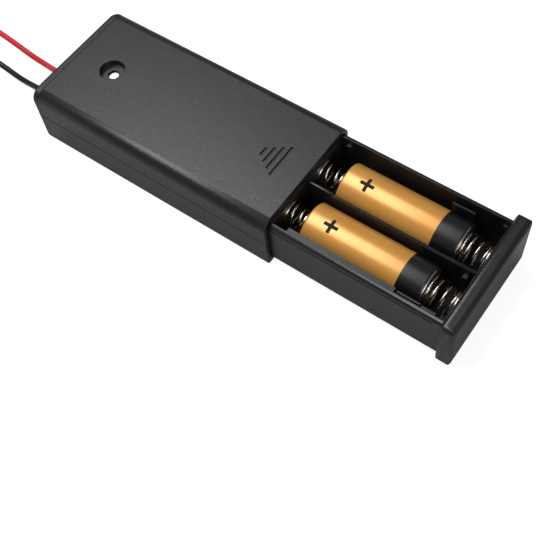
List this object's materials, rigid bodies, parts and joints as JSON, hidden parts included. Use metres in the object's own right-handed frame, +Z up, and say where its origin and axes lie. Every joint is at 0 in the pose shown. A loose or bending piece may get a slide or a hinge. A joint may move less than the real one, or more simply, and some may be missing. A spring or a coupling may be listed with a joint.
{
  "type": "cylindrical cell holder",
  "caption": "Black sleeve with a slide-out tray that holds short cylindrical cells side by side on spring contacts, with a red and a black lead at its closed end.",
  "frame": {"origin": "centre of the sleeve's underside, between its closed end and its mouth", "axes": "+X along the sleeve towards its mouth, the way the tray slides out; +Y across the sleeve, towards the red lead's side; +Z up, out of the face with the arrow mark"},
  "size_m": [0.1602, 0.041, 0.0145],
  "materials": {
    "black_plastic": "fine satin grain",
    "plated_steel": "zinc plated",
    "nickel_contact": "nickel plated, rolled",
    "solder": "frozen solder",
    "red_insulation": "smooth extruded PVC",
    "black_insulation": "smooth extruded PVC",
    "tinned_strands": "tinned copper",
    "tie_plastic": "plain",
    "cell_label": "gold and black shrink sleeve",
    "spring_wire": "bright nickel plate"
  },
  "bodies": {
    "sleeve": {"upper_shell": "black_plastic", "lower_shell": "black_plastic", "end_cap": "black_plastic", "case_screw": "plated_steel", "positive_leaf": "nickel_contact", "negative_leaf": "nickel_contact", "red_solder": "solder", "black_solder": "solder", "red_lead_inside": "red_insulation", "black_lead_inside": "black_insulation", "red_lead": "red_insulation", "black_lead": "black_insulation", "red_coil": "red_insulation", "black_coil": "black_insulation", "red_tail": "red_insulation", "black_tail": "black_insulation", "red_tip": "tinned_strands", "black_tip": "tinned_strands", "red_tie": "tie_plastic", "black_tie": "tie_plastic"},
    "tray": {"tray": "black_plastic", "back_contact": "nickel_contact", "front_contact": "nickel_contact", "return_strip": "nickel_contact", "near_cell": "cell_label", "far_cell": "cell_label", "near_plus_spring": "spring_wire", "far_plus_spring": "spring_wire", "near_minus_spring": "spring_wire", "far_minus_spring": "spring_wire"}
  },
  "joints": [
    {"name": "tray_slide", "type": "slide", "parent": "sleeve", "child": "tray", "axis": [1, 0, 0], "range_m": [-0.03915, 0.0015]}
  ]
}
